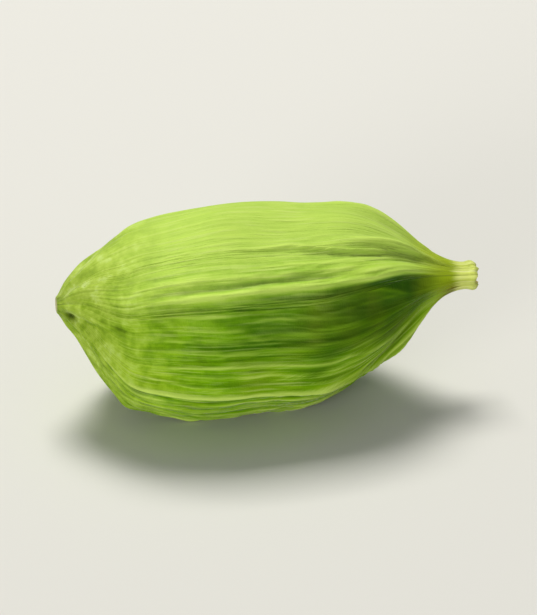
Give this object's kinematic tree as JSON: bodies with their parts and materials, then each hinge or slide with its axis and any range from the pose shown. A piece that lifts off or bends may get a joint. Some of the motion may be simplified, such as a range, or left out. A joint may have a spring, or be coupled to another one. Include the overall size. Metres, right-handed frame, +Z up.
{
  "type": "green cardamom pod",
  "caption": "Whole dried green cardamom pod, a ribbed three-angled spice husk with a drawn-out beak, which lies on its belly.",
  "frame": {"origin": "centre of the pod's box at the height of the surface it rests on", "axes": "+X along the pod from its stalk end to its beak, +Z up from the surface it lies on, -Y towards the side that the picture shows"},
  "size_m": [0.0164, 0.0084, 0.008],
  "materials": {
    "husk": "dry papery husk with a low sheen"
  },
  "bodies": {
    "root": {"pod": "husk"}
  },
  "joints": []
}
